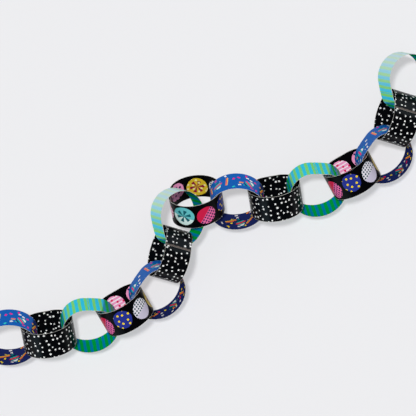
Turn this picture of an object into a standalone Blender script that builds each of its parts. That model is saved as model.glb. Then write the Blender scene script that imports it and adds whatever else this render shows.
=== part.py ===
"""Paper chain garland: strips of printed card, each rolled into a ring through the ring before it.

The garland lies on a table in two swags, seen from above as it would hang: +X to the right, +Y up the
picture, +Z up from the table. Its origin is on the table, at the middle of the garland's footprint.
Run it with blender --background --python part.py, or from Blender's text editor.
"""

import math

import bmesh
import bpy
from mathutils import Matrix, Vector
from mathutils.bvhtree import BVHTree

# The strip of card, in metres
STRIP_LENGTH = 0.200
STRIP_WIDTH = 0.0315
CARD_THICKNESS = 0.0003
LAP_LENGTH = 0.0115  # the two ends of a strip are stuck over each other for this length

# The flat that the lap keeps, because two layers are too stiff to curve, runs on past each of its ends
FLAT_MARGIN = 0.0015

# Air left between two links that touch
CONTACT_GAP = 0.0003

# Fold lines that stand for the curve of one ring
FACETS = 60

# A pull starts with two rings this near, as a share of the ring's diameter, and ends at the latest where
# they are parted. A ring that first finds room further out than the linked share isn't through the other
SLACK_SHARE = 0.35
LINKED_SHARE = 0.95
PARTED_SHARE = 1.2
PULL_STEPS = 120
PULL_HALVINGS = 8

# A link whose strip is too wide to pass at the lean it was laid with is stood up by this much at a time
STAND_UP_STEP = 1
STAND_UP_TRIES = 30

# The links of one swag as they were laid, from its low end. Angles are in degrees, anticlockwise from +X.
#   path: direction from the middle of the link before
#   heading: direction that the ring's long way points
#   lean: how far the ring's axis leans from upright, to the left of its heading, or to the right if negative.
#     A ring that leans by more than 90 is turned over, so that its strip is rolled the other way round
#   oval: how far the ring is drawn out along its heading, as a share of its radius
#   rise: how far the links beside it hold it up over the table, in metres
#   lap: where the lap is, from the heading round the ring's axis
SWAG = (
    {"paper": "confetti", "path": -1, "heading": 3, "lean": -34, "oval": 0.11, "rise": 0.005, "lap": 180},
    {"paper": "starry", "path": 4, "heading": 9, "lean": 65, "oval": -0.04, "rise": 0.0, "lap": 90},
    {"paper": "striped", "path": 12.5, "heading": 15, "lean": -27, "oval": 0.03, "rise": 0.0, "lap": 70},
    {"paper": "medallion", "path": 22, "heading": 29, "lean": 71, "oval": -0.07, "rise": 0.002, "lap": 90},
    {"paper": "confetti", "path": 30, "heading": 35, "lean": -21, "oval": 0.04, "rise": 0.002, "lap": 110},
    {"paper": "starry", "path": 70, "heading": 73, "lean": -107, "oval": -0.02, "rise": 0.005, "lap": 57},
    {"paper": "striped", "path": 78, "heading": 73, "lean": -24, "oval": 0.06, "rise": 0.017, "lap": 120},
    {"paper": "medallion", "path": 40, "heading": 9, "lean": 53, "oval": 0.08, "rise": 0.0, "lap": 170},
)
LINKS = 15

# Colour and roughness of each printed card
PAPERS = {
    "confetti": ((0.008, 0.110, 0.479), 0.35),
    "starry": ((0.006, 0.007, 0.009), 0.30),
    "striped": ((0.013, 0.440, 0.420), 0.35),
    "medallion": ((0.006, 0.006, 0.008), 0.35),
}

# What follows from the strip's sizes
LOOP_LENGTH = STRIP_LENGTH - LAP_LENGTH
FLAT_LENGTH = LAP_LENGTH + 2 * FLAT_MARGIN
DIAMETER = LOOP_LENGTH / math.pi


def clear_scene():
    """Removes every object that the scene starts with."""
    for obj in list(bpy.data.objects):
        bpy.data.objects.remove(obj)


def paper_material(name):
    """The printed card's material."""
    colour, roughness = PAPERS[name]
    material = bpy.data.materials.new(name + "_paper")
    material.use_nodes = True
    shader = material.node_tree.nodes["Principled BSDF"]
    shader.inputs["Base Color"].default_value = (*colour, 1)
    shader.inputs["Roughness"].default_value = roughness
    shader.inputs["Metallic"].default_value = 0
    material.diffuse_color = (*colour, 1)
    return material


def direction(angle):
    """The unit vector at this angle in the ring's own plane."""
    return Vector((math.cos(angle), math.sin(angle)))


def fold_lines(oval, lap):
    """The corners of the ring's closed path in its own plane, from the start of the lap's flat round.

    Each facet is as long as its radius of curvature says, so the path keeps the strip's true length. The
    lap's flat is a length with no curvature at all. A path closes if its radius of curvature, taken over
    the direction it faces, has no first harmonic, so the flat's own harmonic is taken out again.
    """
    step = math.tau / FACETS
    mean_radius = (LOOP_LENGTH - FLAT_LENGTH) / math.tau
    corner = Vector((0, 0))
    corners = []
    for i in range(FACETS):
        facing = lap + i * step
        radius = mean_radius * (1 - 3 * oval * math.cos(2 * facing))
        radius -= FLAT_LENGTH / math.pi * math.cos(facing - lap)
        corners.append(corner.copy())
        length = radius * step + (FLAT_LENGTH if i == 0 else 0)
        corner += length * direction(facing + math.pi / 2)
    low = Vector((min(c.x for c in corners), min(c.y for c in corners)))
    high = Vector((max(c.x for c in corners), max(c.y for c in corners)))
    return [c - (low + high) / 2 for c in corners]


def sections(oval, lap, thickness):
    """Points through the card, inner to outer, at each fold line and at the lap's two ends.

    The strip spirals out by its own thickness on its way round, so that its end lies on its start. Inside
    the ring the strip's first end makes a step, and outside it the strip's last end makes another.
    """
    corners = fold_lines(oval, lap)
    step = math.tau / FACETS
    half = thickness / 2
    along_flat = direction(lap + math.pi / 2)
    flat = (corners[1] - corners[0]).length
    margin = (flat - LAP_LENGTH) / 2
    out = direction(lap)
    lap_start = corners[0] + along_flat * margin
    lap_end = corners[1] - along_flat * margin
    rows = [
        [lap_start - out * half, lap_start + out * half, lap_start + out * (CARD_THICKNESS + half)],
        [lap_end - out * half, lap_end + out * half, lap_end + out * (CARD_THICKNESS + half)],
    ]
    for i in [*range(1, FACETS), 0]:
        bisector = direction(lap + (i - 0.5) * step)
        mitre = bisector / math.cos(step / 2)
        climb = CARD_THICKNESS * (i or FACETS) / FACETS
        rows.append([corners[i] + mitre * (climb - half), corners[i] + mitre * (climb + half)])
    return rows


def link_mesh(oval, lap, growth=0.0):
    """A bmesh of one closed strip, its axis along Z. growth moves every face of it outwards by that much."""
    thickness = CARD_THICKNESS + 2 * growth
    half_width = STRIP_WIDTH / 2 + growth
    mesh = bmesh.new()
    rows = [[mesh.verts.new((p.x, p.y, -half_width)) for p in row] for row in sections(oval, lap, thickness)]
    start, end, *rest = rows
    mesh.faces.new([start[0], end[0], end[1], end[2], start[2], start[1]])
    loop = [end[:2], *rest, start[1:]]
    for here, there in zip(loop, loop[1:]):
        mesh.faces.new([here[0], there[0], there[1], here[1]])
    edge = bmesh.ops.extrude_face_region(mesh, geom=mesh.faces[:])
    lifted = [item for item in edge["geom"] if isinstance(item, bmesh.types.BMVert)]
    bmesh.ops.translate(mesh, verts=lifted, vec=(0, 0, 2 * half_width))
    bmesh.ops.recalc_face_normals(mesh, faces=mesh.faces[:])
    return mesh


def shape_of(oval, lap, growth=0.0):
    """The points and faces of a closed strip."""
    mesh = link_mesh(oval, lap, growth)
    mesh.verts.index_update()
    points = [v.co.copy() for v in mesh.verts]
    faces = [[v.index for v in face.verts] for face in mesh.faces]
    mesh.free()
    return points, faces


def turn_of(row):
    """How a link is turned: its axis leans to one side of its heading, and the heading turns it about Z."""
    heading = Matrix.Rotation(math.radians(row["heading"]), 4, "Z")
    lean = Matrix.Rotation(math.radians(-row["lean"]), 4, "X")
    return heading @ lean


def tree_of(shape, turn, place):
    """A search tree of a shape that is turned and then moved to its place."""
    points, faces = shape
    matrix = Matrix.Translation(place) @ turn
    return BVHTree.FromPolygons([matrix @ p for p in points], faces)


def middle_height(row):
    """How high the middle of a link is over the table."""
    points, _ = shape_of(row["oval"], math.radians(row["lap"]))
    turn = turn_of(row)
    return row["rise"] - min((turn @ p).z for p in points)


def pulled_place(row, shape, before_tree, before_place):
    """Where a link lies once it is pulled along its path until it touches the link before it.

    It is None where the link can't be through the ring before it, at the lean that it has.
    """
    turn = turn_of(row)
    height = middle_height(row)
    way = direction(math.radians(row["path"])).to_3d()

    def place_at(pitch):
        place = before_place + way * pitch
        place.z = height
        return place

    def meets(pitch):
        return bool(tree_of(shape, turn, place_at(pitch)).overlap(before_tree))

    step = DIAMETER * (PARTED_SHARE - SLACK_SHARE) / PULL_STEPS
    pitch = DIAMETER * SLACK_SHARE
    linked = DIAMETER * LINKED_SHARE
    parted = DIAMETER * PARTED_SHARE
    while meets(pitch) and pitch < linked:
        pitch += step
    if pitch >= linked:
        return None
    while not meets(pitch + step) and pitch < parted:
        pitch += step
    for _ in range(PULL_HALVINGS):
        step /= 2
        if not meets(pitch + step):
            pitch += step
    return place_at(pitch)


def lay_links():
    """Each link as it lies, and its place: it is pulled until it touches the link before it."""
    laid = []
    before_tree = None
    for number in range(LINKS):
        row = dict(SWAG[number % len(SWAG)])
        grown = shape_of(row["oval"], math.radians(row["lap"]), CONTACT_GAP / 2)
        if before_tree is None:
            place = Vector((0, 0, middle_height(row)))
        else:
            place = pulled_place(row, grown, before_tree, laid[-1][1])
            for _ in range(STAND_UP_TRIES):
                if place is not None:
                    break
                row["lean"] += math.copysign(STAND_UP_STEP, math.sin(math.radians(2 * row["lean"])))
                place = pulled_place(row, grown, before_tree, laid[-1][1])
        laid.append((row, place))
        before_tree = tree_of(grown, turn_of(row), place)
    return laid


def footprint_middle(objects):
    """The middle of what the objects cover on the table."""
    corners = [obj.matrix_world @ v.co for obj in objects for v in obj.data.vertices]
    middle = [(min(c[k] for c in corners) + max(c[k] for c in corners)) / 2 for k in (0, 1)]
    return Vector((*middle, 0))


def build():
    """Makes every link, and moves the garland's middle to the origin."""
    clear_scene()
    garland = bpy.data.objects.new("garland", None)
    bpy.context.scene.collection.objects.link(garland)
    materials = {name: paper_material(name) for name in PAPERS}
    links = []
    for number, (row, place) in enumerate(lay_links()):
        name = f"link_{number + 1:02d}_{row['paper']}"
        data = bpy.data.meshes.new(name)
        mesh = link_mesh(row["oval"], math.radians(row["lap"]))
        mesh.to_mesh(data)
        mesh.free()
        data.shade_smooth()
        data.set_sharp_from_angle(angle=math.radians(40))
        data.materials.append(materials[row["paper"]])
        link = bpy.data.objects.new(name, data)
        bpy.context.scene.collection.objects.link(link)
        link.parent = garland
        link.rotation_euler = turn_of(row).to_euler()
        link.location = place
        links.append(link)
    bpy.context.view_layer.update()
    garland.location = -footprint_middle(links)
    bpy.context.view_layer.update()


build()
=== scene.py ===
"""The looks of the paper chain garland: card strips, printed on both sides, rolled and linked on a table."""

import math

import bpy
from mathutils import Matrix, Vector


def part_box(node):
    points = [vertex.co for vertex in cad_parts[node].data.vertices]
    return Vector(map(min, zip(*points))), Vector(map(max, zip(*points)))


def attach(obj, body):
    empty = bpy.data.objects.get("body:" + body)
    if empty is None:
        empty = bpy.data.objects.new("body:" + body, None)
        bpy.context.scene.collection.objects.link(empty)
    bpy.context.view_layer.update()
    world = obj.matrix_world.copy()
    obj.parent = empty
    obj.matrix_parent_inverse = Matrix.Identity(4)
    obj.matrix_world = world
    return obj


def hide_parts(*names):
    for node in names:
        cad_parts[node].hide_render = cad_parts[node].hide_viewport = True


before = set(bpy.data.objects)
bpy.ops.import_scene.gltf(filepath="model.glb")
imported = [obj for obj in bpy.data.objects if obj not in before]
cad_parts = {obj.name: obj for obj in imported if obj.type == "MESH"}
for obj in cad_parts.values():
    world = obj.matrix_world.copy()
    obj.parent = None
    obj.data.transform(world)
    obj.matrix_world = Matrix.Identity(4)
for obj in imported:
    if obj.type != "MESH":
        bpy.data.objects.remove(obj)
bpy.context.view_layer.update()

# The strip of card as it was cut, in metres, and its lap, where one end is stuck over the other
STRIP_LENGTH = 0.200
STRIP_WIDTH = 0.0315
CARD_THICKNESS = 0.0003
LAP_LENGTH = 0.0115
LOOP_LENGTH = STRIP_LENGTH - LAP_LENGTH

# The flat that the lap keeps, because two layers are too stiff to curve, runs on a little past its ends
FLAT_LENGTH = LAP_LENGTH + 0.003

# A film of glue keeps the two ends of a strip this far apart
GLUE_FILM = 0.00002

# How finely a strip is rolled and divided, and the sharpest turn that is shaded as a curve, in degrees
ROLL_STEPS = 240
WIDTH_STEPS = 10
SMOOTH_TURN = 40

# The links of one swag from its low end, in degrees. heading is the direction of the ring's long way, lean
# is how far its axis leans to the left of that, oval is how far it is drawn out, and lap is where its lap
# is. A link whose painted shade flag is False gets no painted shade where it runs through its neighbours
SWAG = (
    {"paper": "confetti", "heading": 3, "lean": -34, "oval": 0.11, "lap": 180},
    {"paper": "starry", "heading": 9, "lean": 65, "oval": -0.04, "lap": 90},
    {"paper": "striped", "heading": 15, "lean": -27, "oval": 0.03, "lap": 70},
    {"paper": "medallion", "heading": 29, "lean": 71, "oval": -0.07, "lap": 90},
    {"paper": "confetti", "painted_shade": False, "heading": 35, "lean": -21, "oval": 0.04, "lap": 110},
    {"paper": "starry", "heading": 73, "lean": -107, "oval": -0.02, "lap": 57},
    # The seventh link's print is the striped paper with a painted sheen on its outside
    {"paper": "striped", "print": "painted_sheen_stripes", "heading": 73, "lean": -24, "oval": 0.06, "lap": 120},
    {"paper": "medallion", "heading": 9, "lean": 53, "oval": 0.08, "lap": 170},
)

# A link that leans by at least this many degrees stands. What runs through it gets painted shade there, in
# the darker inside inks, and the bright print goes over to that painted shade within a short way, in metres
STANDING_LEAN = 60
PAINTED_SHADE_BLEND = 0.0012

# How far from its axis a ring still holds what is inside it: its radius and a fifth more, for its oval
HOLE_REACH = 1.2 * LOOP_LENGTH / math.tau

# Prints are laid out in millimetres on the flat strip
MM = 0.001
LENGTH_MM = STRIP_LENGTH / MM
WIDTH_MM = STRIP_WIDTH / MM
LOOP_MM = LOOP_LENGTH / MM

# What the motifs in a row change by from one to the next, in radians: how far off the middle each one is,
# how it is turned, and how large a disc is
LIFT_STEP = 2.4
TURN_STEP = 1.9
SIZE_STEP = 1.7

# The star print: how far apart its stars are, how far each strays from an even grid, as a share, how large
# they are, and how deep the notches between their points go, as a share
STAR_SPACING = 6.4
STAR_STRAY = 0.72
STAR_RADII = (1.1, 1.8)
STAR_NOTCH = 0.52
STAR_POINTS = 5
STARRY_BLACK = "050609"
STAR_WHITE = "F4F4F2"

# The striped print: one pair of stripes, and how long and how deep the waves in their edges are
STRIPE_PAIR = 7.5
STRIPE_WAVES = (7.0, 0.40)

# A painted sheen on a striped strip, a pale patch that stands in for gloss: where along it it is palest, how
# far from there it reaches, how much of the ink it covers at the palest place, and the colour it goes to
PAINTED_SHEEN_MIDDLE = 150
PAINTED_SHEEN_REACH = 56
PAINTED_SHEEN_SHARE = 0.72
PAINTED_SHEEN_COLOUR = "E4EEEC"

# The cut-paper print. A size is half a length and half a width, and clear is the bare ground round a shape.
# The bits are scattered, this share of them is kept, and none has its middle near a cut edge
BIT_SPACING = 7.4
BIT_STRAY = 0.75
BIT_SIZE = (1.75, 1.2)
BITS_KEPT = 0.62
BIT_FROM_EDGE = 2.2
STREAMER_SPACING = 23
STREAMER_STRAY = 0.30
STREAMER_SHIFT = (5, 9)
STREAMER_SIZE = (7.2, 1.3)
STREAMER_CLEAR = (8.4, 2.6)
LOZENGES = 5
LOZENGE_SWAY = 4.0
LOZENGE_SIZE = (9.0, 6.2)
LOZENGE_CLEAR = (11.0, 8.0)

# The disc print: a disc's radius and how much it varies, how far the row sways, and the waves in the edges
DISC_RADIUS = 11.8
DISC_VARIES = 0.8
DISC_SWAY = 1.6
DISC_WAVES = (9.0, 0.35)
MEDALLION_BLACK = "040406"

# What fills the discs: where the line between two halves is, a pair of bands and the printed band's share,
# and dots, by how far apart they are, how far they stray and how large they are, as shares of that
HALF_LINE = 1.5
BAND_PAIR = 4.2
BAND_SHARE = 0.36
CHECK_DOTS = (3.4, 0.0, 0.33)
SPOT_DOTS = (6.5, 0.8, 0.21)
PETALS = 6
PETAL_REACH = 0.72 * DISC_RADIUS

# The discs in their order along the strip. Each has a ground, and inks over it
MEDALLIONS = (
    {"ground": "F49CC6", "inks": (("bands", "FBE9F0"), ("spots", "E0245A"))},
    {"ground": "67C4C9", "inks": (("half", "DDF4F0"), ("petals", "17616C"))},
    {"ground": "EE6FA6", "inks": (("half", "D31F4A"), ("checks", "33194A"))},
    {"ground": "27338C", "inks": (("spots", "F2D11C"),)},
    {"ground": "E6E2EA", "inks": (("checks", "12404A"), ("half", "C9C2D6"))},
    {"ground": "D8B72B", "inks": (("petals", "8E1638"), ("spots", "F3E39A"))},
    {"ground": "F49CC6", "inks": (("spots", "2A2350"),)},
)

# The white core shows where the print has crushed along a cut edge: how wide, how uneven, and its colour. A
# strip's last end has a painted highlight in warm grey, where the lap's edge catches the light
CRUSHED_EDGE = 0.16
CRUSHED_UNEVEN = (0.8, 1.2)
CORE_WHITE = "D6D3CC"
LAP_END_PAINTED_HIGHLIGHT = "625853"

# Noises over the card, in lumps for each millimetre: the crushing of its edges, the ripples right across it
# from being rolled, and the tooth of its surface. A noise's values lie mostly in the span
CRUSHED_LUMPS = 0.6
ROLLED_RIPPLES = (0.16, 0.008, 1)
CARD_TOOTH = 1.4
NOISE_SPAN = (0.3, 0.7)

# The core's fibres, in lumps for each metre
CORE_FIBRES = 1800.0

# The table: its size in metres, its colour, the colour that it shows whatever light falls on it, which is a
# little less green because the low lights tint the rest of its look, and how much of its look that is
TABLE_SIZE = 6
TABLE_COLOUR = "EDEDEF"
TABLE_OWN_COLOUR = "ECEBED"
TABLE_GLOW = 0.55

# How bright the studio's walls are: as light on the object, and in the card's gloss
WALL_LIGHT = 0.22
WALL_GLOSS = 0.03

# The camera looks straight down from high up. Its picture is as wide as the photograph, 416 pixels of
# 1.153 mm, at the level given here over the table, in metres. Its roll is in degrees, its lens and sensor
# are in millimetres, and its sight is how far it sees, in metres
PICTURE_WIDTH = 416 * 1.153 * MM
CAMERA_LENS = 300
CAMERA_SENSOR = 36
CAMERA_ROLL = -0.64
CAMERA_ASIDE = (0.0005, 0.0008)
CAMERA_LEVEL = 0.03
CAMERA_SIGHT = 20


def linear(code):
    """Turns an sRGB colour such as "1058B8" into the linear colour that Blender works in."""
    channels = [int(code[k : k + 2], 16) / 255 for k in (0, 2, 4)]
    return (*(c / 12.92 if c <= 0.04045 else ((c + 0.055) / 1.055) ** 2.4 for c in channels), 1)


def add(tree, kind, feeds=(), **settings):
    """Adds a node with its settings. feeds fills its inputs, in order or by name, with values or outputs."""
    node = tree.nodes.new("ShaderNode" + kind)
    for name, value in settings.items():
        setattr(node, name, value)
    for key, feed in feeds.items() if isinstance(feeds, dict) else enumerate(feeds):
        if isinstance(feed, bpy.types.Node):
            feed = feed.outputs[0]
        if isinstance(feed, bpy.types.NodeSocket):
            tree.links.new(feed, node.inputs[key])
        else:
            node.inputs[key].default_value = feed
    return node


def overprint(tree, ground, *layers):
    """Prints inks on a ground, one over the other. A layer is its mask, 1 for full ink, and its colour."""
    colour = ground
    for mask, ink in layers:
        colour = add(tree, "Mix", {0: mask, 6: colour, 7: ink}, data_type="RGBA").outputs[2]
    return colour


def strip_plane(tree, shift=(0, 0)):
    """Where a point is on the flat strip, in millimetres along it and across it."""
    size = (LENGTH_MM, WIDTH_MM, 1)
    return add(tree, "Mapping", {"Vector": add(tree, "UVMap"), "Scale": size, "Location": (*shift, 0)})


def scattered(tree, plane, spacing, stray):
    """Scatters motifs over a print. It gives each point's place in its own motif, turned at random, the
    motif's draws, and how far the motif's middle is from the nearer cut edge."""
    cells = add(
        tree,
        "TexVoronoi",
        {"Vector": plane, "Scale": 1 / spacing, "Randomness": stray},
        voronoi_dimensions="2D",
    )
    draws = add(tree, "SeparateColor", [cells.outputs["Color"]])
    from_middle = add(tree, "VectorMath", [plane, cells.outputs["Position"]], operation="SUBTRACT")
    turn = add(tree, "Math", [draws.outputs[0], math.tau], operation="MULTIPLY")
    local = add(tree, "VectorRotate", {"Vector": from_middle, "Angle": turn}, rotation_type="Z_AXIS")
    middle = add(tree, "SeparateXYZ", [cells.outputs["Position"]])
    inland = add(tree, "Math", [middle.outputs[1], WIDTH_MM / 2], operation="PINGPONG")
    return local, draws, inland


def in_a_row(tree, count, sway):
    """Sets motifs in a row round the ring: each point's place in its own motif, the motif's turn and number.

    The row follows on over the lap. Each motif stands off the strip's middle by up to sway millimetres.
    """
    pitch = LOOP_MM / count
    parts = add(tree, "SeparateXYZ", [strip_plane(tree)])
    place = add(tree, "Math", [parts.outputs[0], pitch], operation="DIVIDE")
    count_on = add(tree, "Math", [place], operation="FLOOR")
    number = add(tree, "Math", [count_on, count], operation="FLOORED_MODULO")
    share = add(tree, "Math", [place], operation="FRACT")
    x = add(tree, "MapRange", [share, 0, 1, -pitch / 2, pitch / 2])
    swing = add(tree, "Math", [number, LIFT_STEP], operation="MULTIPLY")
    lift = add(tree, "Math", [swing], operation="SINE")
    centre = add(tree, "Math", [lift, sway, WIDTH_MM / 2], operation="MULTIPLY_ADD")
    y = add(tree, "Math", [parts.outputs[1], centre], operation="SUBTRACT")
    turn = add(tree, "Math", [number, TURN_STEP], operation="MULTIPLY")
    return add(tree, "CombineXYZ", [x, y]), turn, number


def wobbly(tree, plane, wave, reach):
    """The same place on the strip, moved a little, so that a printed edge looks drawn by hand."""
    noise = add(tree, "TexNoise", {"Vector": plane, "Scale": 1 / wave, "Detail": 1.0}, noise_dimensions="2D")
    centred = add(tree, "VectorMath", [noise.outputs["Color"], (0.5, 0.5, 0.5)], operation="SUBTRACT")
    push = add(tree, "VectorMath", {0: centred, "Scale": 2 * reach}, operation="SCALE")
    return add(tree, "VectorMath", [plane, push], operation="ADD")


def in_half_sizes(tree, local, half_length, half_width):
    """How far along and across from its middle a point of a motif is, counted in the motif's half sizes."""
    scaled = add(tree, "VectorMath", [local, (1 / half_length, 1 / half_width, 0)], operation="MULTIPLY")
    return add(tree, "VectorMath", [scaled], operation="ABSOLUTE")


def slab(tree, local, half_length, half_width):
    """Where an oblong is."""
    parts = add(tree, "SeparateXYZ", [in_half_sizes(tree, local, half_length, half_width)])
    out = add(tree, "Math", [parts.outputs[0], parts.outputs[1]], operation="MAXIMUM")
    return add(tree, "Math", [out, 1], operation="LESS_THAN")


def kite(tree, local, half_length, half_width):
    """Where a lozenge is."""
    sizes = in_half_sizes(tree, local, half_length, half_width)
    out = add(tree, "VectorMath", [sizes, (1, 1, 0)], operation="DOT_PRODUCT").outputs["Value"]
    return add(tree, "Math", [out, 1], operation="LESS_THAN")


def dots(tree, plane, spacing, stray, share):
    """Where round dots are. share is a dot's radius as a share of the spacing."""
    cells = add(
        tree,
        "TexVoronoi",
        {"Vector": plane, "Scale": 1 / spacing, "Randomness": stray},
        voronoi_dimensions="2D",
    )
    return add(tree, "Math", [cells.outputs["Distance"], share], operation="LESS_THAN")


def star(tree, local, radius):
    """Where a star is, with its middle at local's zero and its radius a value or an output."""
    fold = math.pi / STAR_POINTS
    lean = math.atan2(1 - STAR_NOTCH * math.cos(fold), STAR_NOTCH * math.sin(fold))
    parts = add(tree, "SeparateXYZ", [local])
    angle = add(tree, "Math", [parts.outputs[1], parts.outputs[0]], operation="ARCTAN2")
    folded = add(tree, "Math", [angle, fold], operation="PINGPONG")
    off_side = add(tree, "Math", [folded, lean], operation="SUBTRACT")
    along_side = add(tree, "Math", [off_side], operation="COSINE")
    distance = add(tree, "VectorMath", [local], operation="LENGTH").outputs["Value"]
    out = add(tree, "Math", [distance, along_side], operation="MULTIPLY")
    side = add(tree, "Math", [radius, math.cos(lean)], operation="MULTIPLY")
    return add(tree, "Math", [out, side], operation="LESS_THAN")


def steps(tree, draw, codes):
    """Picks one of several colours, each as likely as the others, by a draw from 0 to 1."""
    ramp = add(tree, "ValToRGB", [draw])
    ramp.color_ramp.interpolation = "CONSTANT"
    while len(ramp.color_ramp.elements) < len(codes):
        ramp.color_ramp.elements.new(0.5)
    for number, code in enumerate(codes):
        ramp.color_ramp.elements[number].position = number / len(codes)
        ramp.color_ramp.elements[number].color = linear(code)
    return ramp.outputs[0]


def starry_print(tree):
    """Scattered white stars of many sizes on black, a common print."""
    local, draws, _ = scattered(tree, strip_plane(tree), STAR_SPACING, STAR_STRAY)
    radius = add(tree, "MapRange", [draws.outputs[1], 0, 1, *STAR_RADII])
    return overprint(tree, linear(STARRY_BLACK), (star(tree, local, radius), linear(STAR_WHITE)))


def striped_print(tree, first, second, share, painted_sheen=0.0):
    """Stripes straight across the strip in two colours, with edges that waver like painted ones.

    share is the first stripe's share of a pair, and the last argument is how much of the ink a painted sheen
    covers at its palest place, a pale patch that stands in for gloss.
    """
    plane = wobbly(tree, strip_plane(tree), *STRIPE_WAVES)
    along = add(tree, "SeparateXYZ", [plane]).outputs[0]
    pairs = add(tree, "Math", [along, STRIPE_PAIR], operation="DIVIDE")
    phase = add(tree, "Math", [pairs], operation="FRACT")
    second_stripe = add(tree, "Math", [phase, share], operation="GREATER_THAN")
    stripes = overprint(tree, linear(first), (second_stripe, linear(second)))
    if not painted_sheen:
        return stripes
    # A painted sheen: the stripes go pale round one place on the strip, as gloss would wash them out
    off = add(tree, "Math", [along, PAINTED_SHEEN_MIDDLE], operation="SUBTRACT")
    off = add(tree, "Math", [off], operation="ABSOLUTE")
    sheen_mask = add(tree, "MapRange", [off, 0, PAINTED_SHEEN_REACH, painted_sheen, 0], interpolation_type="SMOOTHSTEP")
    return overprint(tree, stripes, (sheen_mask, linear(PAINTED_SHEEN_COLOUR)))


def confetti_print(tree, ground, bits, streamers, lozenges):
    """Cut-paper shapes on a coloured ground: small bits, striped streamers, and banded lozenges."""
    base = linear(ground)
    local, draws, inland = scattered(tree, strip_plane(tree), BIT_SPACING, BIT_STRAY)
    kept = add(tree, "Math", [draws.outputs[2], BITS_KEPT], operation="LESS_THAN")
    whole = add(tree, "Math", [inland, BIT_FROM_EDGE], operation="GREATER_THAN")
    kept = add(tree, "Math", [kept, whole], operation="MULTIPLY")
    bit = add(tree, "Math", [slab(tree, local, *BIT_SIZE), kept], operation="MULTIPLY")
    colour = overprint(tree, base, (bit, steps(tree, draws.outputs[1], bits)))

    local, _, _ = scattered(tree, strip_plane(tree, STREAMER_SHIFT), STREAMER_SPACING, STREAMER_STRAY)
    across = add(tree, "SeparateXYZ", [local]).outputs[1]
    lane = add(tree, "MapRange", [across, -STREAMER_SIZE[1], STREAMER_SIZE[1], 0, 1])
    clear = slab(tree, local, *STREAMER_CLEAR)
    streamer = slab(tree, local, *STREAMER_SIZE)
    colour = overprint(tree, colour, (clear, base), (streamer, steps(tree, lane, streamers)))

    flat, turn, _ = in_a_row(tree, LOZENGES, LOZENGE_SWAY)
    local = add(tree, "VectorRotate", {"Vector": flat, "Angle": turn}, rotation_type="Z_AXIS")
    along = add(tree, "SeparateXYZ", [local]).outputs[0]
    band = add(tree, "MapRange", [along, -LOZENGE_SIZE[0], LOZENGE_SIZE[0], 0, 1])
    clear = kite(tree, local, *LOZENGE_CLEAR)
    lozenge = kite(tree, local, *LOZENGE_SIZE)
    return overprint(tree, colour, (clear, base), (lozenge, steps(tree, band, lozenges)))


def medallion_print(tree):
    """A row of printed discs on black, each filled with a plain geometric pattern of its own."""
    flat, turn, number = in_a_row(tree, len(MEDALLIONS), DISC_SWAY)
    local = wobbly(tree, flat, *DISC_WAVES)
    out = add(tree, "VectorMath", [local], operation="LENGTH").outputs["Value"]
    swing = add(tree, "Math", [number, SIZE_STEP], operation="MULTIPLY")
    larger = add(tree, "Math", [swing], operation="SINE")
    radius = add(tree, "Math", [larger, DISC_VARIES, DISC_RADIUS], operation="MULTIPLY_ADD")
    disc = add(tree, "Math", [out, radius], operation="LESS_THAN")

    turned = add(tree, "VectorRotate", {"Vector": local, "Angle": turn}, rotation_type="Z_AXIS")
    sides = add(tree, "SeparateXYZ", [turned])
    half = add(tree, "Math", [sides.outputs[0], HALF_LINE], operation="GREATER_THAN")
    other_half = add(tree, "Math", [1, half], operation="SUBTRACT")
    rows = add(tree, "Math", [sides.outputs[1], BAND_PAIR], operation="DIVIDE")
    phase = add(tree, "Math", [rows], operation="FRACT")
    angle = add(tree, "Math", [sides.outputs[1], sides.outputs[0]], operation="ARCTAN2")
    folded = add(tree, "Math", [angle, math.pi / PETALS], operation="PINGPONG")
    wedge = add(tree, "Math", [folded, math.pi / PETALS / 2], operation="LESS_THAN")
    near = add(tree, "Math", [out, PETAL_REACH], operation="LESS_THAN")
    masks = {
        "half": half,
        "bands": add(tree, "Math", [phase, BAND_SHARE], operation="LESS_THAN"),
        "checks": add(tree, "Math", [dots(tree, turned, *CHECK_DOTS), other_half], operation="MULTIPLY"),
        "spots": dots(tree, turned, *SPOT_DOTS),
        "petals": add(tree, "Math", [wedge, near], operation="MULTIPLY"),
    }

    colour = linear(MEDALLION_BLACK)
    for count, design in enumerate(MEDALLIONS):
        here = add(tree, "Math", [number, count, 0.5], operation="COMPARE")
        here = add(tree, "Math", [here, disc], operation="MULTIPLY")
        colour = overprint(tree, colour, (here, linear(design["ground"])))
        for name, code in design["inks"]:
            mask = add(tree, "Math", [here, masks[name]], operation="MULTIPLY")
            colour = overprint(tree, colour, (mask, linear(code)))
    return colour


def painted_shade_in_neighbours(tree, bright, deep):
    """The outside print with painted shade: it goes over to the inside's darker inks where the strip runs
    through a neighbour.
    """
    painted_shade = add(tree, "Attribute", attribute_name="painted_shade").outputs["Fac"]
    return overprint(tree, bright, (painted_shade, deep))


def confetti_outside(tree):
    """Royal blue outside, with painted shade in the inside's navy where the strip runs through a neighbour.
    """
    bits = ("F3F1EE", "F0168C", "F3F1EE", "F0168C", "2CC4C4")
    bands = ("14AEB4", "F4F2EE", "14AEB4", "E8207C", "14AEB4", "123A78", "14AEB4")
    bright = confetti_print(tree, "045DB4", bits, ("F6D22C", "F0168C", "F58A2C"), bands)
    return painted_shade_in_neighbours(tree, bright, confetti_inside_painted_shade(tree))


def confetti_inside_painted_shade(tree):
    """The same shapes on navy: the outside's inks painted darker, as painted shade of the ring's inside."""
    bits = ("E8E6E6", "DE1846", "E8E6E6", "F2D422", "DE1846")
    bands = ("0F8C8C", "E8E6E6", "0F8C8C", "DE1846", "0F8C8C", "101840", "0F8C8C")
    return confetti_print(tree, "202B63", bits, ("F08A30", "DE1846", "F2D422"), bands)


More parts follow.
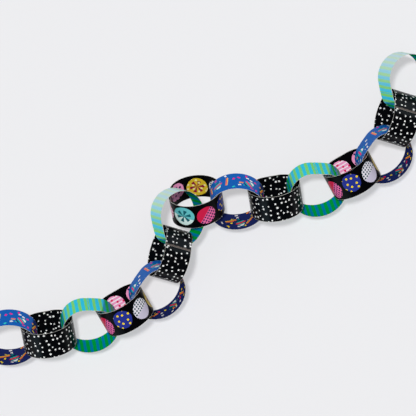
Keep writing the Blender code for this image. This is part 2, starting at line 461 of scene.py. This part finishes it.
def striped_outside(tree, painted_sheen=0.0):
    """Cyan and leaf green outside, with painted shade in the darker inside inks where the strip runs through
    a neighbour.
    """
    bright = striped_print(tree, "25C8EA", "7CD674", 0.54, painted_sheen)
    return painted_shade_in_neighbours(tree, bright, striped_inside_painted_shade(tree))


def striped_inside_painted_shade(tree):
    """Deep blue and emerald: the outside's cyan and leaf green painted darker, as painted shade of the
    ring's inside.
    """
    return striped_print(tree, "0086B8", "00A744", 0.46)


def striped_painted_sheen(tree):
    """The outside of a striped strip with a painted sheen, a pale patch that stands in for gloss."""
    return striped_outside(tree, PAINTED_SHEEN_SHARE)


def crushed_edges(tree, colour, painted_highlight_width):
    """Shows the card's white core in a hairline along its cut edges, uneven as scissors leave it.

    The strip's last end, the top layer of the lap, gets a painted highlight in warm grey where the lap's
    edge catches the light, as many millimetres wide as the last argument.
    """
    plane = strip_plane(tree)
    parts = add(tree, "SeparateXYZ", [plane])
    noise = add(
        tree, "TexNoise", {"Vector": plane, "Scale": CRUSHED_LUMPS, "Detail": 2.0}, noise_dimensions="2D"
    )
    uneven = add(tree, "MapRange", [noise, *NOISE_SPAN, *CRUSHED_UNEVEN])
    across = add(tree, "Math", [parts.outputs[1], WIDTH_MM / 2], operation="PINGPONG")
    reach = add(tree, "Math", [uneven, CRUSHED_EDGE], operation="MULTIPLY")
    bare = add(tree, "Math", [across, reach], operation="LESS_THAN")
    colour = overprint(tree, colour, (bare, linear(CORE_WHITE)))
    if not painted_highlight_width:
        return colour
    # A painted highlight: the strip's last end goes warm grey where the lap's edge catches the light
    last = add(tree, "Math", [LENGTH_MM, parts.outputs[0]], operation="SUBTRACT")
    reach = add(tree, "Math", [uneven, painted_highlight_width], operation="MULTIPLY")
    end_highlight = add(tree, "Math", [last, reach], operation="LESS_THAN")
    return overprint(tree, colour, (end_highlight, linear(LAP_END_PAINTED_HIGHLIGHT)))


def coated_card(name, drawing, roughness, gloss, painted_highlight_width=0.0):
    """Offset-printed card of about 250 grams a square metre, satin coated: flat inks under a soft gloss, or
    nearly matt ones on the inside, and faint cross ripples from being rolled round a finger."""
    material = bpy.data.materials.new(name)
    material.use_nodes = True
    tree = material.node_tree
    shader = tree.nodes["Principled BSDF"]
    shader.inputs["Roughness"].default_value = roughness
    shader.inputs["IOR"].default_value = 1.46
    shader.inputs["Specular IOR Level"].default_value = gloss
    tree.links.new(crushed_edges(tree, drawing(tree), painted_highlight_width), shader.inputs["Base Color"])
    plane = strip_plane(tree)
    rolled_plane = add(tree, "Mapping", {"Vector": plane, "Scale": ROLLED_RIPPLES})
    ripple = add(
        tree, "TexNoise", {"Vector": rolled_plane, "Scale": 1.0, "Detail": 2.0}, noise_dimensions="2D"
    )
    tooth = add(
        tree, "TexNoise", {"Vector": plane, "Scale": CARD_TOOTH, "Detail": 3.0}, noise_dimensions="2D"
    )
    rolled = add(tree, "Bump", {"Strength": 0.35, "Distance": 0.0006, "Height": ripple})
    surface = add(tree, "Bump", {"Strength": 0.12, "Distance": 0.00006, "Height": tooth, "Normal": rolled})
    tree.links.new(surface.outputs[0], shader.inputs["Normal"])
    return material


def card_core(name):
    """The cut edge of white-cored card: matt, bare wood fibre."""
    material = bpy.data.materials.new(name)
    material.use_nodes = True
    tree = material.node_tree
    shader = tree.nodes["Principled BSDF"]
    shader.inputs["Roughness"].default_value = 0.85
    place = add(tree, "TexCoord").outputs["Object"]
    fibre = add(tree, "TexNoise", {"Vector": place, "Scale": CORE_FIBRES, "Detail": 3.0})
    tint = overprint(tree, linear("BDB9B1"), (fibre, linear("DBD8D1")))
    tree.links.new(tint, shader.inputs["Base Color"])
    bump = add(tree, "Bump", {"Strength": 0.3, "Distance": 0.00005, "Height": fibre})
    tree.links.new(bump.outputs[0], shader.inputs["Normal"])
    return material


def deselect():
    """Leaves nothing selected."""
    bpy.ops.object.select_all(action="DESELECT")


def roll_path(row):
    """The line that the middle of the card follows, in the ring's own plane, from the strip's first end.

    It is as in the part's source: a ring whose radius of curvature varies round it, with a flat for the lap.
    The strip climbs by its own thickness on its way round, so that its last end lies over its first.
    """
    lap = math.radians(row["lap"])
    step = math.tau / ROLL_STEPS
    mean_radius = (LOOP_LENGTH - FLAT_LENGTH) / math.tau
    corner = Vector((0, 0))
    corners = []
    for i in range(ROLL_STEPS):
        facing = lap + i * step
        radius = mean_radius * (1 - 3 * row["oval"] * math.cos(2 * facing))
        radius -= FLAT_LENGTH / math.pi * math.cos(facing - lap)
        corners.append(corner.copy())
        length = radius * step + (FLAT_LENGTH if i == 0 else 0)
        corner += length * Vector((-math.sin(facing), math.cos(facing)))
    low = Vector((min(c.x for c in corners), min(c.y for c in corners)))
    high = Vector((max(c.x for c in corners), max(c.y for c in corners)))
    corners = [c - (low + high) / 2 for c in corners]

    climb = CARD_THICKNESS + GLUE_FILM
    out = Vector((math.cos(lap), math.sin(lap)))
    along = Vector((-math.sin(lap), math.cos(lap)))
    margin = (FLAT_LENGTH - LAP_LENGTH) / 2
    path = [corners[0] + along * margin]
    for i in [*range(1, ROLL_STEPS), ROLL_STEPS]:
        facing = lap + (i - 0.5) * step
        away = Vector((math.cos(facing), math.sin(facing)))
        path.append(corners[i % ROLL_STEPS] + away * climb * i / ROLL_STEPS)
    path.append(corners[0] + along * margin + out * climb)
    path.append(corners[1] - along * margin + out * climb)
    return path


def rolled_strip(name, row, faces):
    """One strip of card: a flat oblong, rolled along its path and given its thickness.

    faces are the materials of its outside, its inside and its cut edges.
    """
    spline_data = bpy.data.curves.new(name + "_roll", "CURVE")
    spline_data.dimensions = "2D"
    points = roll_path(row)
    spline = spline_data.splines.new("POLY")
    spline.points.add(len(points) - 1)
    for point, spot in zip(spline.points, points):
        point.co = (*spot, 0, 1)
    roll = bpy.data.objects.new(name + "_roll", spline_data)
    bpy.context.scene.collection.objects.link(roll)

    deselect()
    bpy.ops.mesh.primitive_grid_add(x_subdivisions=ROLL_STEPS, y_subdivisions=WIDTH_STEPS, size=1)
    strip = bpy.context.object
    strip.name = name
    strip.scale = (STRIP_LENGTH, STRIP_WIDTH, 1)
    strip.rotation_euler = (math.pi / 2, 0, 0)
    strip.location = (STRIP_LENGTH / 2, 0, 0)
    bpy.ops.object.transform_apply(location=True, rotation=True, scale=True)
    for material in faces:
        strip.data.materials.append(material)

    curl = strip.modifiers.new("Rolled", "CURVE")
    curl.object = roll
    curl.deform_axis = "POS_X"
    bpy.ops.object.modifier_apply(modifier=curl.name)
    card = strip.modifiers.new("Card", "SOLIDIFY")
    card.thickness = CARD_THICKNESS
    card.offset = 0
    card.material_offset = 1
    card.material_offset_rim = 2
    bpy.ops.object.modifier_apply(modifier=card.name)
    bpy.ops.object.shade_smooth_by_angle(angle=math.radians(SMOOTH_TURN))
    bpy.data.objects.remove(roll)
    return strip


def turn_of(row):
    """How a link is turned: its axis leans to one side of its heading, and the heading turns it about Z."""
    heading = Matrix.Rotation(math.radians(row["heading"]), 4, "Z")
    return heading @ Matrix.Rotation(math.radians(-row["lean"]), 4, "X")


def middle_of(node):
    """The middle of a CAD node's box."""
    low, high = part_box(node)
    return (Vector(low) + Vector(high)) / 2


def lay(strip, row, node):
    """Turns a rolled strip as its link lies, and puts its middle where the CAD node's is."""
    strip.data.transform(turn_of(row))
    corners = [v.co for v in strip.data.vertices]
    low = Vector([min(c[k] for c in corners) for k in range(3)])
    high = Vector([max(c[k] for c in corners) for k in range(3)])
    strip.data.transform(Matrix.Translation(middle_of(node) - (low + high) / 2))


def mark_painted_shade(strip, neighbours):
    """Marks how far each point of a strip is inside a standing neighbour, which is how much painted shade
    its outside print gets there.
    """
    shares = [0.0] * len(strip.data.vertices)
    for row, node in neighbours:
        if abs(row["lean"]) < STANDING_LEAN:
            continue
        axis = (turn_of(row) @ Vector((0, 0, 1))).normalized()
        middle = middle_of(node)
        for vertex in strip.data.vertices:
            away = vertex.co - middle
            along = away.dot(axis)
            if (away - along * axis).length < HOLE_REACH:
                inside = (STRIP_WIDTH / 2 - abs(along)) / PAINTED_SHADE_BLEND + 0.5
                shares[vertex.index] = max(shares[vertex.index], min(inside, 1.0))
    painted_shade = strip.data.attributes.new("painted_shade", "FLOAT", "POINT")
    painted_shade.data.foreach_set("value", shares)


# The papers: each one's outer face, its inner face, and the core at its cut edges
core = card_core("white_card_core")
striped_back = coated_card("coated_card_striped_blue_green", striped_inside_painted_shade, roughness=0.36, gloss=0.0)
papers = {
    "confetti": (
        coated_card("coated_card_confetti_royal_blue", confetti_outside, roughness=0.34, gloss=0.04),
        coated_card("coated_card_confetti_navy", confetti_inside_painted_shade, roughness=0.36, gloss=0.0),
        core,
    ),
    "starry": (
        coated_card("coated_card_starry_outside", starry_print, roughness=0.30, gloss=0.12, painted_highlight_width=2.1),
        coated_card("coated_card_starry_inside", starry_print, roughness=0.36, gloss=0.05),
        core,
    ),
    "striped": (
        coated_card("coated_card_striped_cyan_green", striped_outside, roughness=0.34, gloss=0.04),
        striped_back,
        core,
    ),
    # Striped paper with a painted sheen on its outside
    "painted_sheen_stripes": (
        coated_card("coated_card_striped_faded", striped_painted_sheen, roughness=0.34, gloss=0.04),
        striped_back,
        core,
    ),
    "medallion": (
        coated_card("coated_card_medallion_outside", medallion_print, roughness=0.34, gloss=0.08),
        coated_card("coated_card_medallion_inside", medallion_print, roughness=0.36, gloss=0.05),
        core,
    ),
}

# One rolled strip for each CAD link
nodes = sorted(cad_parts)
for number, node in enumerate(nodes):
    row = SWAG[number % len(SWAG)]
    strip = rolled_strip(node.replace("link", "strip"), row, papers[row.get("print", row["paper"])])
    lay(strip, row, node)
    # A strip gets painted shade where it runs through a standing neighbour
    beside = [k for k in (number - 1, number + 1) if 0 <= k < len(nodes) and row.get("painted_shade", True)]
    mark_painted_shade(strip, [(SWAG[k % len(SWAG)], nodes[k]) for k in beside])
    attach(strip, "root")
    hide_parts(node)


def table_top():
    """A plain pale table. Part of what is seen of it is its own colour, so that its shadows stay pale."""
    deselect()
    bpy.ops.mesh.primitive_plane_add(size=TABLE_SIZE)
    top = bpy.context.object
    top.name = "table_top"
    material = bpy.data.materials.new("matt_laminate_pale_grey")
    material.use_nodes = True
    tree = material.node_tree
    shader = tree.nodes["Principled BSDF"]
    shader.inputs["Base Color"].default_value = linear(TABLE_COLOUR)
    shader.inputs["Roughness"].default_value = 0.9
    shader.inputs["Specular IOR Level"].default_value = 0.0
    rays = add(tree, "LightPath").outputs
    seen = add(tree, "Math", [rays["Is Camera Ray"], rays["Is Glossy Ray"]], operation="MAXIMUM")
    seen = add(tree, "Math", [seen, rays["Is Transmission Ray"]], operation="MAXIMUM")
    share = add(tree, "Math", [seen, TABLE_GLOW], operation="MULTIPLY")
    glow = add(tree, "Emission", {"Color": linear(TABLE_OWN_COLOUR), "Strength": 1.0})
    both = add(tree, "MixShader", [share, shader.outputs[0], glow.outputs[0]])
    tree.links.new(both.outputs[0], tree.nodes["Material Output"].inputs["Surface"])
    top.data.materials.append(material)


def sun(name, heading, height, spread, strength, colour):
    """A studio light far away. Its heading, height and spread are in degrees."""
    light = bpy.data.lights.new(name, "SUN")
    light.energy = strength
    light.color = linear(colour)[:3]
    light.angle = math.radians(spread)
    lamp = bpy.data.objects.new(name, light)
    lamp.rotation_euler = (math.radians(90 - height), 0, math.radians(heading + 90))
    bpy.context.scene.collection.objects.link(lamp)


table_top()
sun("softbox_overhead", heading=135, height=81.5, spread=6, strength=2.42, colour="FFFFFF")
sun("softbox_left", heading=225, height=15, spread=30, strength=0.42, colour="CFEFFF")
sun("softbox_right", heading=48, height=17, spread=24, strength=0.32, colour="DDF3FF")

# The studio's walls light the table evenly, are nearly dark where the card's gloss reflects them, and are as
# pale as the table where the camera sees them
world = bpy.data.worlds.new("studio")
world.use_nodes = True
walls = world.node_tree
rays = add(walls, "LightPath").outputs
level = add(walls, "MapRange", [rays["Is Glossy Ray"], 0, 1, WALL_LIGHT, WALL_GLOSS])
level = add(walls, "MapRange", [rays["Is Camera Ray"], 0, 1, level, 1.0])
tint = overprint(walls, linear("FFFFFF"), (rays["Is Camera Ray"], linear(TABLE_COLOUR)))
walls.links.new(level.outputs[0], walls.nodes["Background"].inputs["Strength"])
walls.links.new(tint, walls.nodes["Background"].inputs["Color"])
bpy.context.scene.world = world

camera_data = bpy.data.cameras.new("camera")
camera_data.lens = CAMERA_LENS
camera_data.sensor_width = CAMERA_SENSOR
camera_data.clip_end = CAMERA_SIGHT
camera = bpy.data.objects.new("camera", camera_data)
camera.location = (*CAMERA_ASIDE, CAMERA_LEVEL + PICTURE_WIDTH * CAMERA_LENS / CAMERA_SENSOR)
camera.rotation_euler = (0, 0, math.radians(CAMERA_ROLL))
bpy.context.scene.collection.objects.link(camera)
bpy.context.scene.camera = camera

bpy.context.scene.view_settings.view_transform = "Standard"
